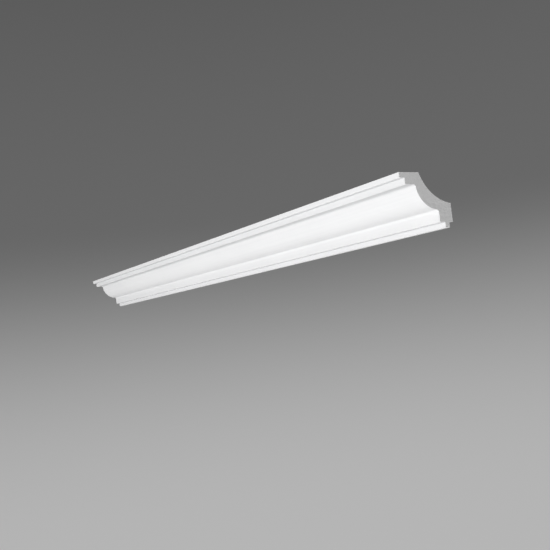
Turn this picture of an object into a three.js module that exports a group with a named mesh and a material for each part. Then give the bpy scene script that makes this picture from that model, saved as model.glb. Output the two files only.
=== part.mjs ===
// A length of foam cornice moulding, cut square at both ends.
// Millimetres, +Z up. The length runs along X, the wall is the plane Y = 0 with the room on its -Y side,
// and the origin is at the middle of the face that is glued to the wall.

import * as THREE from "three";

// Overall sizes.
const LENGTH = 1250;
const PROJECTION = 80;
const DROP = 71;

// Two square fillets under the ceiling, the lower one set back from the upper.
const UPPER_FILLET_DROP = 6.8;
const LOWER_FILLET_SETBACK = 8.3;
const LOWER_FILLET_DROP = 15.3;
const FILLET_ARRIS_RADIUS = 1.6;

// The ovolo, a swelling quarter round, with a small cove at each end of it.
const OVOLO_RADIUS = 33.3;
const OVOLO_CENTRE_FROM_WALL = 22;
const OVOLO_CENTRE_DROP = 14.3;
const COVE_RADIUS = 4.2;

// The plain fascia below the ovolo, and the lip that hangs from the underside.
const FASCIA_FROM_WALL = 22.1;
const UNDERSIDE_DROP = 63.7;
const LIP_FRONT_FROM_WALL = 13.9;
const LIP_BACK_FROM_WALL = 6.3;
const LOWER_ARRIS_RADIUS = 0.7;

// The hollow back is one arc, struck from a point beyond the wall and above the ceiling.
const BACK_ARC_RADIUS = 58.6;
const BACK_ARC_CENTRE_BEYOND_WALL = 8.1;
const BACK_ARC_CENTRE_ABOVE_CEILING = 18.5;

// Longest chord of a curved stretch, and the fewest chords in one.
const CHORD = 1.4;
const FEWEST_CHORDS = 4;

// Places that follow from the sizes, as distances from the wall and below the ceiling.
const BACK_ARC_WALL_DROP =
  Math.sqrt(BACK_ARC_RADIUS ** 2 - BACK_ARC_CENTRE_BEYOND_WALL ** 2) - BACK_ARC_CENTRE_ABOVE_CEILING;
const BACK_ARC_CEILING_FROM_WALL =
  Math.sqrt(BACK_ARC_RADIUS ** 2 - BACK_ARC_CENTRE_ABOVE_CEILING ** 2) - BACK_ARC_CENTRE_BEYOND_WALL;
const WALL_FACE_MIDDLE_DROP = (BACK_ARC_WALL_DROP + UNDERSIDE_DROP) / 2;

// A point of the section: distance into the room from the wall, and drop below the ceiling.
function sectionPoint(fromWall, drop) {
  return new THREE.Vector2(-fromWall, -drop);
}

// Points along an arc about a centre, from one point to another the short way round.
function arcPoints(centre, radius, from, to) {
  const startAngle = Math.atan2(from.y - centre.y, from.x - centre.x);
  const endAngle = Math.atan2(to.y - centre.y, to.x - centre.x);
  const turn = Math.atan2(Math.sin(endAngle - startAngle), Math.cos(endAngle - startAngle));
  const chords = Math.max(FEWEST_CHORDS, Math.ceil((Math.abs(turn) * radius) / CHORD));
  const curve = new THREE.EllipseCurve(
    centre.x, centre.y, radius, radius, startAngle, startAngle + turn, turn < 0,
  );
  return curve.getPoints(chords);
}

// A square corner whose two sides run along the axes, eased to a quarter round.
// Each side is given by the sign of its direction away from the corner: along Y, then along Z.
function easedCorner(corner, radius, towardsY, towardsZ, alongZFirst) {
  const centre = new THREE.Vector2(corner.x + towardsY * radius, corner.y + towardsZ * radius);
  const onVertical = new THREE.Vector2(corner.x, centre.y);
  const onHorizontal = new THREE.Vector2(centre.x, corner.y);
  const [from, to] = alongZFirst ? [onVertical, onHorizontal] : [onHorizontal, onVertical];
  return arcPoints(centre, radius, from, to);
}

// The ovolo and the two coves that meet it, each cove tangent to the ovolo and to the flat beside it.
function ovoloPoints() {
  const ovoloCentre = sectionPoint(OVOLO_CENTRE_FROM_WALL, OVOLO_CENTRE_DROP);
  const reach = OVOLO_RADIUS + COVE_RADIUS;

  const upperCoveCentreDrop = LOWER_FILLET_DROP + COVE_RADIUS;
  const upperCoveRun = Math.sqrt(reach ** 2 - (upperCoveCentreDrop - OVOLO_CENTRE_DROP) ** 2);
  const upperCoveCentre = sectionPoint(OVOLO_CENTRE_FROM_WALL + upperCoveRun, upperCoveCentreDrop);
  const upperStart = new THREE.Vector2(upperCoveCentre.x, -LOWER_FILLET_DROP);

  const lowerCoveCentreFromWall = FASCIA_FROM_WALL + COVE_RADIUS;
  const lowerCoveFall = Math.sqrt(reach ** 2 - (lowerCoveCentreFromWall - OVOLO_CENTRE_FROM_WALL) ** 2);
  const lowerCoveCentre = sectionPoint(lowerCoveCentreFromWall, OVOLO_CENTRE_DROP + lowerCoveFall);
  const lowerEnd = new THREE.Vector2(-FASCIA_FROM_WALL, lowerCoveCentre.y);

  const touching = OVOLO_RADIUS / reach;
  const ovoloStart = ovoloCentre.clone().lerp(upperCoveCentre, touching);
  const ovoloEnd = ovoloCentre.clone().lerp(lowerCoveCentre, touching);

  return [
    ...arcPoints(upperCoveCentre, COVE_RADIUS, upperStart, ovoloStart),
    ...arcPoints(ovoloCentre, OVOLO_RADIUS, ovoloStart, ovoloEnd).slice(1),
    ...arcPoints(lowerCoveCentre, COVE_RADIUS, ovoloEnd, lowerEnd).slice(1),
  ];
}

// The whole section, from the front edge at the ceiling down the face, round the lip and up the back.
function cornicePoints() {
  const lowerFilletFromWall = PROJECTION - LOWER_FILLET_SETBACK;
  const backArcCentre = sectionPoint(-BACK_ARC_CENTRE_BEYOND_WALL, -BACK_ARC_CENTRE_ABOVE_CEILING);
  const backArcAtWall = sectionPoint(0, BACK_ARC_WALL_DROP);
  const backArcAtCeiling = sectionPoint(BACK_ARC_CEILING_FROM_WALL, 0);
  return [
    sectionPoint(PROJECTION, 0),
    ...easedCorner(sectionPoint(PROJECTION, UPPER_FILLET_DROP), FILLET_ARRIS_RADIUS, 1, 1, true),
    sectionPoint(lowerFilletFromWall, UPPER_FILLET_DROP),
    ...easedCorner(sectionPoint(lowerFilletFromWall, LOWER_FILLET_DROP), FILLET_ARRIS_RADIUS, 1, 1, true),
    ...ovoloPoints(),
    ...easedCorner(sectionPoint(FASCIA_FROM_WALL, UNDERSIDE_DROP), LOWER_ARRIS_RADIUS, 1, 1, true),
    sectionPoint(LIP_FRONT_FROM_WALL, UNDERSIDE_DROP),
    ...easedCorner(sectionPoint(LIP_FRONT_FROM_WALL, DROP), LOWER_ARRIS_RADIUS, 1, 1, true),
    ...easedCorner(sectionPoint(LIP_BACK_FROM_WALL, DROP), LOWER_ARRIS_RADIUS, -1, 1, false),
    sectionPoint(LIP_BACK_FROM_WALL, UNDERSIDE_DROP),
    sectionPoint(0, UNDERSIDE_DROP),
    ...arcPoints(backArcCentre, BACK_ARC_RADIUS, backArcAtWall, backArcAtCeiling),
  ];
}

// The moulded length: the section drawn along X, with the section's own axes laid on Y and Z.
function corniceLength() {
  const section = new THREE.Shape(cornicePoints());
  const geometry = new THREE.ExtrudeGeometry(section, { depth: LENGTH, bevelEnabled: false });
  const primedFoam = new THREE.MeshStandardMaterial({ color: 0xf4f4f5, roughness: 0.6, metalness: 0 });
  const mesh = new THREE.Mesh(geometry, primedFoam);
  const sectionAxes = new THREE.Matrix4().makeBasis(
    new THREE.Vector3(0, 1, 0),
    new THREE.Vector3(0, 0, 1),
    new THREE.Vector3(1, 0, 0),
  );
  mesh.name = "cornice_length";
  mesh.quaternion.setFromRotationMatrix(sectionAxes);
  mesh.position.set(-LENGTH / 2, 0, WALL_FACE_MIDDLE_DROP);
  return mesh;
}

const cornice = new THREE.Group();
cornice.name = "cornice_moulding";
cornice.add(corniceLength());

export default cornice;
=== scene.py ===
"""The looks of a foam cornice moulding length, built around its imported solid.

The moulding is one piece: a section drawn along its length, with a white primed face, cut foam ends
and a raw, hollow back. It hangs where it would be glued, over a pale studio floor.
Everything is in metres, +Z up.
"""

import logging
import math
from dataclasses import dataclass
from enum import Enum
from typing import Any, Iterable

import bmesh
import bpy
from mathutils import Matrix, Vector


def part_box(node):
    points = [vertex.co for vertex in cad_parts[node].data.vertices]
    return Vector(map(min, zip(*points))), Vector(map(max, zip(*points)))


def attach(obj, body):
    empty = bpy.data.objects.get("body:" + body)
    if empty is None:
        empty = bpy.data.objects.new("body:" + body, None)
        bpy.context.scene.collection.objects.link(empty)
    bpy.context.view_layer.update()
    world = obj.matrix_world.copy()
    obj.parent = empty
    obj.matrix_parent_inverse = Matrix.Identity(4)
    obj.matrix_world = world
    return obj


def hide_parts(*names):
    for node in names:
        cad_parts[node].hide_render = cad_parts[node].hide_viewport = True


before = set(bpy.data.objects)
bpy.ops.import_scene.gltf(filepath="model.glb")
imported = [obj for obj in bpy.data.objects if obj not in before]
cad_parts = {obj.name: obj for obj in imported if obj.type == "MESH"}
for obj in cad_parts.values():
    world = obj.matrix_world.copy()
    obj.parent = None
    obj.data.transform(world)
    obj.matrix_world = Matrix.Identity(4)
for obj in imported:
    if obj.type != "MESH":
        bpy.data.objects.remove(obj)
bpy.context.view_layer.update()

NODE = "cornice_length"
BODY = "root"
MILLIMETRE = 0.001
ALONG = Vector((1.0, 0.0, 0.0))
UP = Vector((0.0, 0.0, 1.0))

# Angles, in degrees.
QUARTER = 90.0
SHARP_ANGLE = 30.0

# How squarely a face lies across the length to count as an end, and how close vertices are to be one.
END_FACING = 0.95
WELD = 0.01 * MILLIMETRE

# What every noise pattern has: the middle of its values, and how rough its finer layers are.
NOISE_MIDDLE = 0.5
NOISE_ROUGHNESS = 0.55

Colour = tuple[float, float, float, float]
Limits = tuple[float, float]
Triple = tuple[float, float, float]

log = logging.getLogger("cornice")


class Surface(Enum):
    """The kinds of surface on the moulding, in the order of its material slots."""

    FACE = 0
    CUT_END = 1
    BACK = 2


class CellPart(Enum):
    """What a foam pattern measures its distance from, as the Voronoi node names it."""

    WALL = "DISTANCE_TO_EDGE"
    HEART = "F1"


@dataclass(frozen=True)
class Grain:
    """A soft random pattern: its lumps to the metre, its finer layers and its stretch along each axis."""

    per_metre: float
    layers: float
    stretch: Triple = (1.0, 1.0, 1.0)


class Signal:
    """A shader socket that joins in Python arithmetic: each operation adds a Math node."""

    def __init__(self, sheet: "FinishSheet", socket: bpy.types.NodeSocket) -> None:
        """Wraps a socket.

        Args:
            sheet: The finish whose nodes the socket belongs to.
            socket: The output socket that carries the value.
        """
        self.sheet = sheet
        self.socket = socket

    def _math(self, operation: str, first: Any, second: Any) -> "Signal":
        """Adds a Math node.

        Args:
            operation: The Math node's operation.
            first: The first number or signal.
            second: The second number or signal.

        Returns:
            The node's result.
        """
        return self.sheet.add("ShaderNodeMath", {"operation": operation}, {0: first, 1: second})

    def __add__(self, other: Any) -> "Signal":
        """This value plus another."""
        return self._math("ADD", self, other)

    def __radd__(self, other: Any) -> "Signal":
        """Another value plus this."""
        return self._math("ADD", other, self)

    def __sub__(self, other: Any) -> "Signal":
        """This value less another."""
        return self._math("SUBTRACT", self, other)

    def __rsub__(self, other: Any) -> "Signal":
        """Another value less this."""
        return self._math("SUBTRACT", other, self)

    def __mul__(self, other: Any) -> "Signal":
        """This value times another."""
        return self._math("MULTIPLY", self, other)

    def __rmul__(self, other: Any) -> "Signal":
        """Another value times this."""
        return self._math("MULTIPLY", other, self)


class FinishSheet:
    """One material's nodes, with a Principled shader joined to its output."""

    def __init__(self, name: str) -> None:
        """Starts a material.

        Args:
            name: The material's name.
        """
        self.material = bpy.data.materials.new(name)
        self.material.use_nodes = True
        self.nodes = self.material.node_tree.nodes
        self.links = self.material.node_tree.links
        self.nodes.clear()
        self.shader = self.nodes.new("ShaderNodeBsdfPrincipled")
        output = self.nodes.new("ShaderNodeOutputMaterial")
        self.links.new(self.shader.outputs["BSDF"], output.inputs["Surface"])

    @staticmethod
    def _socket(sockets: Any, key: str | int) -> bpy.types.NodeSocket:
        """Finds a socket by its number, its identifier or its name.

        Args:
            sockets: A node's inputs or outputs.
            key: The number, identifier or name.

        Returns:
            The socket.
        """
        if isinstance(key, int):
            return sockets[key]
        for socket in sockets:
            if socket.identifier == key:
                return socket
        return sockets[key]

    def feed(self, node: bpy.types.Node, key: str | int, value: Any) -> None:
        """Links a signal to a node's input, or sets the input to a constant.

        Args:
            node: The node.
            key: The input's number, identifier or name.
            value: A signal, a number, a colour or a vector.
        """
        socket = self._socket(node.inputs, key)
        if isinstance(value, Signal):
            self.links.new(value.socket, socket)
        else:
            socket.default_value = value

    def add(
        self,
        kind: str,
        settings: dict[str, Any] | None = None,
        inputs: dict[str | int, Any] | None = None,
        output: str | int = 0,
    ) -> Signal:
        """Adds a node.

        Args:
            kind: The node's type.
            settings: Its own settings, which are set first.
            inputs: Values or signals for its inputs.
            output: The output that is wanted.

        Returns:
            That output.
        """
        node = self.nodes.new(kind)
        for name, value in (settings or {}).items():
            setattr(node, name, value)
        for key, value in (inputs or {}).items():
            self.feed(node, key, value)
        return Signal(self, self._socket(node.outputs, output))

    def mark(self, name: str) -> Signal:
        """A value that is kept on the mesh under a name, from 0 to 1."""
        return self.add("ShaderNodeAttribute", {"attribute_name": name}, output="Fac")

    def along(self, axis: str) -> Signal:
        """How far along an axis the point on the piece is, in metres."""
        point = self.add("ShaderNodeTexCoord", output="Object")
        return self.add("ShaderNodeSeparateXYZ", inputs={"Vector": point}, output=axis)

    def place(self, stretch: Triple = (1.0, 1.0, 1.0)) -> Signal:
        """The point on the piece, in metres, stretched along each axis.

        Args:
            stretch: How many times to stretch each axis.

        Returns:
            The stretched Object coordinates.
        """
        point = self.add("ShaderNodeTexCoord", output="Object")
        return self.add("ShaderNodeMapping", {"vector_type": "POINT"}, {"Vector": point, "Scale": stretch})

    def noise(self, grain: Grain) -> Signal:
        """A soft random value around one half.

        Args:
            grain: The pattern's sizes.

        Returns:
            The value.
        """
        inputs = {
            "Vector": self.place(grain.stretch),
            "Scale": grain.per_metre,
            "Detail": grain.layers,
            "Roughness": NOISE_ROUGHNESS,
        }
        return self.add("ShaderNodeTexNoise", {"noise_dimensions": "3D"}, inputs)

    def cells(self, per_metre: float, part: CellPart) -> Signal:
        """A foam of small cells.

        Args:
            per_metre: Cells to the metre.
            part: The part of a cell that the distance is measured from.

        Returns:
            The distance, in cells.
        """
        settings = {"voronoi_dimensions": "3D", "feature": part.value}
        inputs = {"Vector": self.place(), "Scale": per_metre, "Randomness": 1.0}
        return self.add("ShaderNodeTexVoronoi", settings, inputs, "Distance")

    def step(self, value: Signal, limits: Limits) -> Signal:
        """A smooth step between two values.

        Args:
            value: The value that is tested.
            limits: Where the step begins, at 0, and where it ends, at 1.

        Returns:
            The step, from 0 to 1.
        """
        low, high = limits
        settings = {"interpolation_type": "SMOOTHSTEP", "clamp": True}
        return self.add("ShaderNodeMapRange", settings, {"Value": value, "From Min": low, "From Max": high})

    def blend(self, share: Any, first: Any, second: Any) -> Signal:
        """Mixes two colours.

        Args:
            share: How much of the second, from 0 to 1.
            first: The first colour.
            second: The second colour.

        Returns:
            The mixed colour.
        """
        inputs = {"Factor_Float": share, "A_Color": first, "B_Color": second}
        settings = {"data_type": "RGBA", "clamp_factor": True}
        return self.add("ShaderNodeMix", settings, inputs, "Result_Color")

    def relief(self, height: Signal, depth: float) -> Signal:
        """Turns a height into a bent normal.

        Args:
            height: The height, about 0 to 1.
            depth: What a height of 1 measures, in metres.

        Returns:
            The normal.
        """
        return self.add("ShaderNodeBump", inputs={"Strength": 1.0, "Distance": depth, "Height": height})

    def finish(self, **inputs: Any) -> bpy.types.Material:
        """Sets the Principled shader's sockets.

        Args:
            inputs: Values or signals by socket name, with an underscore for a space.

        Returns:
            The finished material.
        """
        for name, value in inputs.items():
            self.feed(self.shader, name.replace("_", " "), value)
        return self.material


def grey(value: float, blue: float = 0.0) -> Colour:
    """A grey, in linear light.

    Args:
        value: Its lightness.
        blue: How much bluer it is than a plain grey.

    Returns:
        The colour.
    """
    return (value - blue / 2, value - blue / 4, value + blue / 2, 1.0)


@dataclass(frozen=True)
class PrimedFace:
    """White satin primer with draw lines, mottling and stipple, worn at its edges, with painted shade under
    the fillets, the ovolo and the fascia.
    """

    white: Colour = grey(0.87, 0.006)
    shade: Colour = grey(0.80, 0.012)
    worn: Colour = grey(0.74)
    # The grey of the painted shade in the inner corners and under the fillets, the ovolo and the fascia.
    painted_shade: Colour = grey(0.60, 0.012)
    draw_lines: Grain = Grain(330.0, 2.0, (0.006, 1.0, 1.0))
    mottling: Grain = Grain(26.0, 3.0, (0.3, 1.0, 1.0))
    stippling: Grain = Grain(900.0, 2.0)
    stipple_depth: float = 0.03 * MILLIMETRE
    stipple_share: float = 0.6
    line_share: float = 0.5
    shade_limits: Limits = (0.38, 0.68)
    shade_strength: float = 0.35
    wear_limits: Limits = (0.4, 0.7)
    wear_strength: float = 0.3
    # How much of the painted shade the marked places get, swinging with the mottling.
    painted_shade_least: float = 0.7
    painted_shade_swing: float = 0.6
    roughness: float = 0.5
    roughness_swing: float = 0.16
    wear_polish: float = 0.08
    specular: float = 0.4

    def material(self) -> bpy.types.Material:
        """Makes the finish.

        Returns:
            The material.
        """
        sheet = FinishSheet("primed_face")
        lines = sheet.noise(self.draw_lines)
        mottle = sheet.noise(self.mottling)
        stipple = sheet.noise(self.stippling)
        arris = sheet.mark("arris")
        pattern = lines * self.line_share + mottle * (1 - self.line_share)
        shaded = sheet.step(pattern, self.shade_limits) * self.shade_strength
        coat = sheet.blend(shaded, self.white, self.shade)
        wear = arris * sheet.step(mottle, self.wear_limits) * self.wear_strength
        edged = sheet.blend(wear, coat, self.worn)
        # Painted shade: the marked inner corners and undersides are mixed towards the shade grey.
        painted_shade_amount = sheet.mark("painted_shade") * (self.painted_shade_least + mottle * self.painted_shade_swing)
        primed = sheet.blend(painted_shade_amount, edged, self.painted_shade)
        swing = (lines - NOISE_MIDDLE) * self.roughness_swing
        height = stipple * self.stipple_share + lines * (1 - self.stipple_share)
        return sheet.finish(
            Base_Color=primed,
            Roughness=self.roughness + swing - arris * self.wear_polish,
            Specular_IOR_Level=self.specular,
            Normal=sheet.relief(height, self.stipple_depth),
        )


@dataclass(frozen=True)
class CutFoam:
    """Sawn foam: fine grey cells, a few larger open ones and the faint marks of the saw."""

    cell_light: Colour = grey(0.64)
    cell_dark: Colour = grey(0.52)
    void: Colour = grey(0.30)
    skin: Colour = grey(0.72)
    cells_per_metre: float = 1500.0
    voids_per_metre: float = 420.0
    saw_lines: Grain = Grain(260.0, 2.0, (1.0, 0.05, 1.0))
    clouding: Grain = Grain(90.0, 3.0)
    wall_limits: Limits = (0.02, 0.16)
    void_limits: Limits = (0.10, 0.20)
    wall_share: float = 0.5
    cloud_share: float = 0.3
    saw_share: float = 0.3
    void_strength: float = 0.6
    wall_height: float = 0.6
    saw_height: float = 0.4
    cell_depth: float = 0.16 * MILLIMETRE
    roughness: float = 0.92
    wall_polish: float = 0.08
    specular: float = 0.25

    def material(self) -> bpy.types.Material:
        """Makes the finish.

        Returns:
            The material.
        """
        sheet = FinishSheet("cut_foam")
        saw = sheet.noise(self.saw_lines)
        cloud = sheet.noise(self.clouding)
        wall = 1 - sheet.step(sheet.cells(self.cells_per_metre, CellPart.WALL), self.wall_limits)
        void = 1 - sheet.step(sheet.cells(self.voids_per_metre, CellPart.HEART), self.void_limits)
        light = wall * self.wall_share + cloud * self.cloud_share + saw * self.saw_share
        grain = sheet.blend(light, self.cell_dark, self.cell_light)
        pitted = sheet.blend(void * self.void_strength, grain, self.void)
        sawn = sheet.blend(sheet.mark("core"), self.skin, pitted)
        height = wall * self.wall_height + saw * self.saw_height - void
        return sheet.finish(
            Base_Color=sawn,
            Roughness=self.roughness - wall * self.wall_polish,
            Specular_IOR_Level=self.specular,
            Normal=sheet.relief(height, self.cell_depth),
        )


@dataclass(frozen=True)
class RawBack:
    """The unprimed skin of the back and the two glued faces, with primer feathered over the front edge."""

    skin: Colour = grey(0.70)
    streak: Colour = grey(0.54)
    primer: Colour = grey(0.86)
    draw_lines: Grain = Grain(240.0, 3.0, (0.01, 1.0, 1.0))
    mottling: Grain = Grain(40.0, 4.0, (0.4, 1.0, 1.0))
    ragged_edge: Grain = Grain(160.0, 3.0)
    cells_per_metre: float = 700.0
    wall_limits: Limits = (0.02, 0.2)
    line_share: float = 0.5
    line_height: float = 0.7
    cell_depth: float = 0.12 * MILLIMETRE
    feather: float = 5.0 * MILLIMETRE
    roughness: float = 0.8
    roughness_swing: float = 0.15
    specular: float = 0.3

    def material(self, front_edge: float) -> bpy.types.Material:
        """Makes the finish.

        Args:
            front_edge: Where the front edge is along Y.

        Returns:
            The material.
        """
        sheet = FinishSheet("raw_back")
        lines = sheet.noise(self.draw_lines)
        mottle = sheet.noise(self.mottling)
        ragged = sheet.noise(self.ragged_edge) - NOISE_MIDDLE
        wall = 1 - sheet.step(sheet.cells(self.cells_per_metre, CellPart.WALL), self.wall_limits)
        reach = sheet.along("Y") + ragged * (2 * self.feather)
        at_front = 1 - sheet.step(reach, (front_edge, front_edge + self.feather))
        streaks = lines * self.line_share + mottle * (1 - self.line_share)
        skin = sheet.blend(streaks, self.skin, self.streak)
        coated = sheet.blend(at_front, skin, self.primer)
        height = lines * self.line_height + wall * (1 - self.line_height)
        return sheet.finish(
            Base_Color=coated,
            Roughness=self.roughness + (mottle - NOISE_MIDDLE) * self.roughness_swing,
            Specular_IOR_Level=self.specular,
            Normal=sheet.relief(height, self.cell_depth),
        )


@dataclass(frozen=True)
class StudioFloor:
    """Pale matt paper that darkens as it sweeps up behind."""

    pale: Colour = grey(0.78)
    sweep: Colour = grey(0.26)
    paper: Grain = Grain(60.0, 2.0)
    roughness: float = 0.95
    roughness_swing: float = 0.05
    specular: float = 0.1

    def material(self, rise: Limits) -> bpy.types.Material:
        """Makes the finish.

        Args:
            rise: The heights where the pale floor begins to darken and where it is darkest.

        Returns:
            The material.
        """
        sheet = FinishSheet("studio_floor")
        tone = sheet.blend(sheet.step(sheet.along("Z"), rise), self.pale, self.sweep)
        return sheet.finish(
            Base_Color=tone,
            Roughness=self.roughness - sheet.noise(self.paper) * self.roughness_swing,
            Specular_IOR_Level=self.specular,
        )


class SectionPen:
    """Draws an outline in a plane across the length, from vertex to vertex."""

    def __init__(self, mesh: bmesh.types.BMesh, start: Vector) -> None:
        """Puts the pen down.

        Args:
            mesh: The mesh that is drawn in.
            start: The first point.
        """
        layers = mesh.verts.layers.float
        # Each vertex carries two marks: a worn edge, and how much painted shade it gets.
        for name in ("arris", "painted_shade"):
            layers.new(name)
        self.mesh = mesh
        self.arris = layers["arris"]
        self.painted_shade = layers["painted_shade"]
        self.tip = mesh.verts.new(start)

    def line_to(self, y: float, z: float, painted_shade: float = 0.0) -> None:
        """Draws a straight line.

        Args:
            y: Where the line ends along Y.
            z: Where the line ends along Z.
            painted_shade: How much painted shade there is where the line ends, from 0 to 1.
        """
        drawn = bmesh.ops.extrude_vert_indiv(self.mesh, verts=[self.tip])
        self.tip = drawn["verts"][0]
        self.tip.co = Vector((self.tip.co.x, y, z))
        self.tip[self.painted_shade] = painted_shade

    def soffit_to(self, y: float, painted_shade: float, fade: float) -> None:
        """Draws a level line in under an edge, with painted shade on it.

        Args:
            y: Where the line ends along Y.
            painted_shade: How much painted shade it has, from 0 to 1.
            fade: How far in from the edge the painted shade begins.
        """
        z = self.tip.co.z
        self.line_to(self.tip.co.y + fade, z, painted_shade)
        self.line_to(y, z, painted_shade)

    def turn(
        self,
        y: float,
        z: float,
        degrees: float,
        steps: int,
        worn: bool = False,
        painted_shade: Limits = (0.0, 0.0),
    ) -> None:
        """Draws an arc.

        Args:
            y: The arc's centre along Y.
            z: The arc's centre along Z.
            degrees: How far the pen turns about the length.
            steps: How many chords the arc has.
            worn: Whether the arc is an outer edge that wears.
            painted_shade: How much painted shade there is where the arc starts and ends. Less than 0 counts
                as 0.
        """
        known = set(self.mesh.verts)
        centre = Vector((self.tip.co.x, y, z))
        start = self.tip.co - centre
        shade_start, shade_end = painted_shade
        drawn = bmesh.ops.spin(
            self.mesh, geom=[self.tip], cent=centre, axis=ALONG, angle=math.radians(degrees), steps=steps
        )
        self.tip = next(item for item in drawn["geom_last"] if isinstance(item, bmesh.types.BMVert))
        for vertex in set(self.mesh.verts) - known:
            share = start.angle(vertex.co - centre) / math.radians(abs(degrees))
            vertex[self.painted_shade] = max(0.0, shade_start + (shade_end - shade_start) * share)
            if worn and vertex is not self.tip:
                vertex[self.arris] = 1.0


@dataclass
class CorniceLength:
    """The moulding: fillets, ovolo, fascia and lip on its face, and one long hollow at its back."""

    upper_fillet_drop: float = 6.8 * MILLIMETRE
    lower_fillet_setback: float = 8.3 * MILLIMETRE
    lower_fillet_drop: float = 15.3 * MILLIMETRE
    fillet_arris: float = 1.6 * MILLIMETRE
    ovolo_radius: float = 33.3 * MILLIMETRE
    ovolo_from_wall: float = 22.0 * MILLIMETRE
    ovolo_drop: float = 14.3 * MILLIMETRE
    cove_radius: float = 4.2 * MILLIMETRE
    fascia_from_wall: float = 22.1 * MILLIMETRE
    underside_drop: float = 63.7 * MILLIMETRE
    lip_front: float = 13.9 * MILLIMETRE
    lip_back: float = 6.3 * MILLIMETRE
    lower_arris: float = 0.7 * MILLIMETRE
    back_radius: float = 58.6 * MILLIMETRE
    back_beyond_wall: float = 8.1 * MILLIMETRE
    back_above_ceiling: float = 18.5 * MILLIMETRE
    cut_edge: float = 0.25 * MILLIMETRE
    end_skin: float = 0.4 * MILLIMETRE
    # Painted shade under the fillets, the ovolo and the fascia: how far it stops short of an edge or runs
    # past a corner, and how strong it is on the soffits and on the ovolo's lower part.
    shade_margin: float = 0.6 * MILLIMETRE
    soffit_shade: float = 0.75
    ovolo_shade: float = 0.42
    arris_steps: int = 8
    cove_steps: int = 18
    ovolo_steps: int = 32
    back_steps: int = 36
    stretches: int = 24

    def __post_init__(self) -> None:
        """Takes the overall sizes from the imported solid."""
        low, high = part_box(NODE)
        self.left = low.x
        self.length = high.x - low.x
        self.front = low.y
        self.wall = high.y
        self.ceiling = high.z
        self.bottom = low.z

    def _draw_face(self, pen: SectionPen) -> None:
        """Draws the face, from the ceiling down to the underside.

        Args:
            pen: The pen, at the front edge.
        """
        lower_fillet = self.front + self.lower_fillet_setback
        self._draw_fillet(pen, self.front, self.ceiling - self.upper_fillet_drop)
        # The soffit under the upper fillet gets painted shade, which runs a little way down the lower
        # fillet's face.
        pen.soffit_to(lower_fillet, self.soffit_shade, self.shade_margin)
        pen.line_to(lower_fillet, pen.tip.co.z - self.shade_margin)
        self._draw_fillet(pen, lower_fillet, self.ceiling - self.lower_fillet_drop)
        self._draw_ovolo(pen)
        fascia = self.wall - self.fascia_from_wall
        underside = self.ceiling - self.underside_drop
        eased = underside + self.lower_arris
        pen.line_to(fascia, eased)
        pen.turn(fascia + self.lower_arris, eased, QUARTER, self.arris_steps, worn=True)

    def _draw_fillet(self, pen: SectionPen, edge: float, foot: float) -> None:
        """Draws a fillet's face and its eased lower edge.

        Args:
            pen: The pen, at the top of the fillet.
            edge: Where the fillet's face is along Y.
            foot: Where the fillet ends along Z.
        """
        eased = foot + self.fillet_arris
        pen.line_to(edge, eased)
        pen.turn(edge + self.fillet_arris, eased, QUARTER, self.arris_steps, worn=True)

    def _draw_ovolo(self, pen: SectionPen) -> None:
        """Draws the ovolo between its two coves, each tangent to the ovolo and to the flat beside it.

        Args:
            pen: The pen, under the lower fillet.
        """
        reach = self.ovolo_radius + self.cove_radius
        centre_y = self.wall - self.ovolo_from_wall
        centre_z = self.ceiling - self.ovolo_drop
        soffit = self.ceiling - self.lower_fillet_drop
        fascia = self.wall - self.fascia_from_wall
        upper_lean = math.degrees(math.asin((centre_z - (soffit - self.cove_radius)) / reach))
        lower_lean = math.degrees(math.asin((centre_y - (fascia - self.cove_radius)) / reach))
        upper_y = centre_y - reach * math.cos(math.radians(upper_lean))
        lower_z = centre_z - reach * math.cos(math.radians(lower_lean))
        # Painted shade: strong under the lower fillet and fading out in the upper cove, then darker towards
        # the ovolo's lower part and fading out again in the lower cove.
        upper_shade = (self.soffit_shade, -self.soffit_shade / 2)
        ovolo_shade = (-2 * self.ovolo_shade, self.ovolo_shade)
        lower_shade = (self.ovolo_shade, -2 * self.ovolo_shade)
        pen.soffit_to(upper_y, self.soffit_shade, self.shade_margin)
        pen.turn(upper_y, soffit - self.cove_radius, upper_lean - QUARTER, self.cove_steps, painted_shade=upper_shade)
        pen.turn(centre_y, centre_z, QUARTER - upper_lean - lower_lean, self.ovolo_steps, painted_shade=ovolo_shade)
        pen.turn(fascia - self.cove_radius, lower_z, lower_lean - QUARTER, self.cove_steps, painted_shade=lower_shade)

    def _draw_lip(self, pen: SectionPen) -> None:
        """Draws the lip and the notch behind it, up to the wall.

        Args:
            pen: The pen, at the fascia's lower edge.
        """
        underside = self.ceiling - self.underside_drop
        front = self.wall - self.lip_front
        back = self.wall - self.lip_back
        eased = self.bottom + self.lower_arris
        # The underside of the fascia gets painted shade, which runs a little way down the lip's face.
        pen.soffit_to(front, self.soffit_shade, self.shade_margin)
        pen.line_to(front, underside - self.shade_margin)
        pen.line_to(front, eased)
        pen.turn(front + self.lower_arris, eased, QUARTER, self.arris_steps, worn=True)
        pen.line_to(back - self.lower_arris, self.bottom)
        pen.turn(back - self.lower_arris, eased, QUARTER, self.arris_steps, worn=True)
        pen.line_to(back, underside)
        pen.line_to(self.wall, underside)

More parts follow.
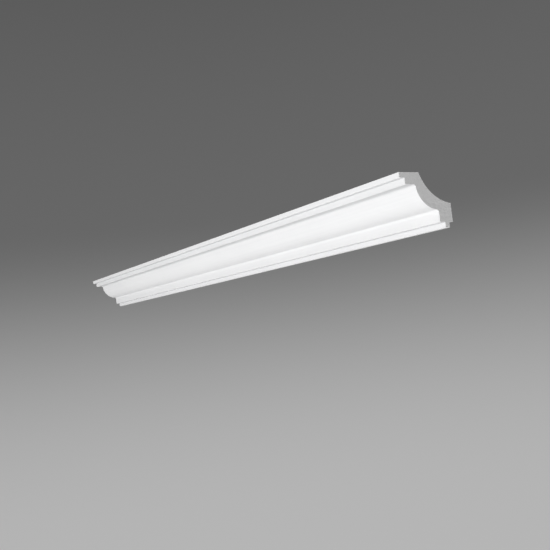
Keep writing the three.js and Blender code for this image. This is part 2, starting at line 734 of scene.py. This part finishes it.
    def _draw_back(self, pen: SectionPen) -> None:
        """Draws the glued wall face, the hollow and the glued ceiling face.

        Args:
            pen: The pen, at the foot of the wall face.
        """
        centre_y = self.wall + self.back_beyond_wall
        centre_z = self.ceiling + self.back_above_ceiling
        wall_lean = math.degrees(math.asin(self.back_beyond_wall / self.back_radius))
        ceiling_lean = math.degrees(math.asin(self.back_above_ceiling / self.back_radius))
        wall_reach = self.back_radius * math.cos(math.radians(wall_lean))
        pen.line_to(self.wall, centre_z - wall_reach)
        pen.turn(centre_y, centre_z, wall_lean + ceiling_lean - QUARTER, self.back_steps)
        pen.line_to(self.front, self.ceiling)

    def _cap_and_extrude(self, mesh: bmesh.types.BMesh) -> None:
        """Fills the outline and draws it along the length.

        Args:
            mesh: The mesh that holds the outline.
        """
        bmesh.ops.remove_doubles(mesh, verts=mesh.verts[:], dist=WELD)
        cap = bmesh.ops.contextual_create(mesh, geom=mesh.edges[:])["faces"]
        drawn = bmesh.ops.extrude_face_region(mesh, geom=cap)
        moved = [item for item in drawn["geom"] if isinstance(item, bmesh.types.BMVert)]
        bmesh.ops.translate(mesh, verts=moved, vec=ALONG * self.length)
        bmesh.ops.recalc_face_normals(mesh, faces=mesh.faces[:])

    def _ease_ends(self, mesh: bmesh.types.BMesh) -> None:
        """Takes the sharpness off the sawn edges and marks the dense skin inside them.

        Args:
            mesh: The extruded mesh.
        """
        core = mesh.verts.layers.float.new("core")
        rims = [edge for face in mesh.faces if self._is_end(face) for edge in face.edges]
        bmesh.ops.bevel(
            mesh, geom=rims, offset=self.cut_edge, affect="EDGES", segments=1, profile=0.5, material=-1
        )
        for face in [face for face in mesh.faces if self._is_end(face)]:
            bmesh.ops.inset_region(mesh, faces=[face], thickness=self.end_skin, use_even_offset=True)
            for vertex in face.verts:
                vertex[core] = 1.0

    def _share_out(self, mesh: bmesh.types.BMesh) -> None:
        """Gives each face the kind of surface it has, and smooth shading.

        Args:
            mesh: The closed mesh.
        """
        notch = self.wall - self.lip_back
        for face in mesh.faces:
            face.smooth = True
            if self._is_end(face):
                kind = Surface.CUT_END
            elif face.normal.y + face.normal.z > 0 or face.calc_center_median().y > notch:
                kind = Surface.BACK
            else:
                kind = Surface.FACE
            face.material_index = kind.value

    @staticmethod
    def _is_end(face: bmesh.types.BMFace) -> bool:
        """Whether a face lies across the length."""
        return abs(face.normal.x) > END_FACING

    def _divide(self, mesh: bmesh.types.BMesh) -> None:
        """Divides the long faces into shorter stretches.

        Args:
            mesh: The extruded mesh.
        """
        long_edges = [edge for edge in mesh.edges if edge.calc_length() > self.length / 2]
        bmesh.ops.subdivide_edges(mesh, edges=long_edges, cuts=self.stretches - 1, use_grid_fill=True)

    def build(self) -> bpy.types.Object:
        """Makes the moulding.

        Returns:
            The finished piece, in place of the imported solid.
        """
        mesh = bmesh.new()
        pen = SectionPen(mesh, Vector((self.left, self.front, self.ceiling)))
        self._draw_face(pen)
        self._draw_lip(pen)
        self._draw_back(pen)
        self._cap_and_extrude(mesh)
        self._ease_ends(mesh)
        self._divide(mesh)
        self._share_out(mesh)
        data = bpy.data.meshes.new("cornice_moulding")
        mesh.to_mesh(data)
        mesh.free()
        data.set_sharp_from_angle(angle=math.radians(SHARP_ANGLE))
        piece = bpy.data.objects.new("cornice_moulding", data)
        bpy.context.scene.collection.objects.link(piece)
        shading = piece.modifiers.new("flat_faces", "WEIGHTED_NORMAL")
        shading.keep_sharp = True
        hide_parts(NODE)
        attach(piece, BODY)
        return piece

    def dress(self, piece: bpy.types.Object) -> None:
        """Gives the moulding its finishes, in the order of the surfaces.

        Args:
            piece: The moulding.
        """
        finishes = {
            Surface.FACE: PrimedFace().material(),
            Surface.CUT_END: CutFoam().material(),
            Surface.BACK: RawBack().material(self.front),
        }
        for surface in Surface:
            piece.data.materials.append(finishes[surface])


@dataclass(frozen=True)
class SoftBox:
    """A large soft studio light."""

    name: str
    place: Triple
    aim: Triple
    width: float
    height: float
    power: float

    def build(self, subject: bpy.types.Object) -> None:
        """Hangs the light.

        Args:
            subject: The one object that it lights.
        """
        data = bpy.data.lights.new(self.name, "AREA")
        data.shape = "RECTANGLE"
        data.size = self.width
        data.size_y = self.height
        data.energy = self.power
        lamp = bpy.data.objects.new(self.name, data)
        lamp.location = self.place
        lamp.rotation_euler = (Vector(self.aim) - Vector(self.place)).to_track_quat("-Z", "Y").to_euler()
        lamp.visible_camera = False
        bpy.context.scene.collection.objects.link(lamp)
        lit = bpy.data.collections.new(self.name)
        lit.objects.link(subject)
        lamp.light_linking.receiver_collection = lit


MIDDLE = (0.0, 0.0, 0.0)
RIGHT_HALF = (0.3, 0.0, 0.0)
RIGHT_END = (0.6, 0.0, 0.0)

FLOOR_LIGHT = SoftBox("overhead_light", place=(0.0, 0.0, 4.6), aim=MIDDLE, width=6.0, height=6.0, power=120.0)
PIECE_LIGHTS = (
    SoftBox("low_light", place=(0.5, -1.1, -1.1), aim=RIGHT_HALF, width=3.0, height=0.4, power=19.0),
    SoftBox("room_light", place=(1.0, -2.8, 0.0), aim=RIGHT_HALF, width=3.0, height=1.6, power=24.0),
    SoftBox("end_light", place=(3.0, -0.4, 0.6), aim=RIGHT_END, width=1.4, height=1.4, power=18.5),
    SoftBox("top_light", place=(0.0, -0.3, 2.6), aim=MIDDLE, width=2.4, height=1.6, power=36.0),
    SoftBox("back_light", place=(-0.8, 2.6, 1.0), aim=MIDDLE, width=2.6, height=1.6, power=62.0),
)


@dataclass
class Studio:
    """The floor with its swept-up edge, the lights, the ambient light and the camera."""

    floor_height: float = -1.3
    floor_radius: float = 1.2
    sweep_radius: float = 5.5
    wall_height: float = 0.5
    pale_rise: float = 0.15
    dark_rise: float = 2.3
    sweep_steps: int = 24
    turn_steps: int = 96
    ambient: float = 0.36
    camera_place: Triple = (1.3373, -0.6977, -0.1190)
    camera_yaw: float = 30.88
    camera_pitch: float = 3.82
    camera_roll: float = -6.45
    lens: float = 50.02
    sensor: float = 36.0
    near_clip: float = 0.01

    def build_floor(self) -> bpy.types.Object:
        """Makes the floor, swept up all round.

        Returns:
            The floor, marked as stage.
        """
        mesh = bmesh.new()
        centre = Vector((0.0, 0.0, self.floor_height))
        rim = mesh.verts.new(centre)
        out = bmesh.ops.extrude_vert_indiv(mesh, verts=[rim])["verts"][0]
        out.co = centre + Vector((0.0, self.floor_radius, 0.0))
        sweep_centre = out.co + UP * self.sweep_radius
        drawn = bmesh.ops.spin(
            mesh, geom=[out], cent=sweep_centre, axis=ALONG,
            angle=math.radians(QUARTER), steps=self.sweep_steps,
        )
        edge = next(item for item in drawn["geom_last"] if isinstance(item, bmesh.types.BMVert))
        top = bmesh.ops.extrude_vert_indiv(mesh, verts=[edge])["verts"][0]
        top.co = edge.co + UP * self.wall_height
        bmesh.ops.spin(
            mesh, geom=mesh.verts[:] + mesh.edges[:], cent=centre, axis=UP,
            angle=math.tau, steps=self.turn_steps, use_merge=True,
        )
        bmesh.ops.remove_doubles(mesh, verts=mesh.verts[:], dist=MILLIMETRE)
        bmesh.ops.recalc_face_normals(mesh, faces=mesh.faces[:])
        bmesh.ops.reverse_faces(mesh, faces=mesh.faces[:])
        for face in mesh.faces:
            face.smooth = True
        data = bpy.data.meshes.new("studio_floor")
        mesh.to_mesh(data)
        mesh.free()
        floor = bpy.data.objects.new("studio_floor", data)
        rise = (self.floor_height + self.pale_rise, self.floor_height + self.dark_rise)
        floor.data.materials.append(StudioFloor().material(rise))
        # The floor lets the ambient light through, so that it reaches the piece from below as well.
        floor.visible_diffuse = False
        bpy.context.scene.collection.objects.link(floor)
        return floor

    def light(self, floor: bpy.types.Object, piece: bpy.types.Object) -> None:
        """Hangs the lights and sets the ambient light.

        Args:
            floor: The floor, which has an overhead light of its own.
            piece: The piece that the other lights are set for.
        """
        FLOOR_LIGHT.build(floor)
        for box in PIECE_LIGHTS:
            box.build(piece)
        world = bpy.data.worlds.new("studio_air")
        world.use_nodes = True
        background = world.node_tree.nodes["Background"]
        background.inputs["Color"].default_value = grey(1.0)
        background.inputs["Strength"].default_value = self.ambient
        bpy.context.scene.world = world
        bpy.context.scene.view_settings.view_transform = "Standard"

    def place_camera(self) -> None:
        """Sets the camera at the photograph's viewing angle."""
        yaw, pitch, roll = (math.radians(a) for a in (self.camera_yaw, self.camera_pitch, self.camera_roll))
        ahead = Vector((-math.cos(yaw) * math.cos(pitch), math.sin(yaw) * math.cos(pitch), math.sin(pitch)))
        level = ahead.cross(UP).normalized()
        upright = level.cross(ahead)
        right = level * math.cos(roll) + upright * math.sin(roll)
        top = upright * math.cos(roll) - level * math.sin(roll)
        data = bpy.data.cameras.new("camera")
        data.lens = self.lens
        data.sensor_width = self.sensor
        data.clip_start = self.near_clip
        camera = bpy.data.objects.new("camera", data)
        axes = Matrix((right, top, -ahead)).transposed()
        camera.matrix_world = Matrix.Translation(self.camera_place) @ axes.to_4x4()
        bpy.context.scene.collection.objects.link(camera)
        bpy.context.scene.camera = camera


def main() -> None:
    """Builds the studio and the moulding."""
    logging.basicConfig(level=logging.INFO, format="%(name)s: %(message)s")
    studio = Studio()
    studio.place_camera()
    floor = studio.build_floor()
    log.info("%s: %d faces", floor.name, len(floor.data.polygons))
    moulding = CorniceLength()
    piece = moulding.build()
    moulding.dress(piece)
    studio.light(floor, piece)
    log.info("%s: %d faces", piece.name, len(piece.data.polygons))


if __name__ == "__main__":
    main()
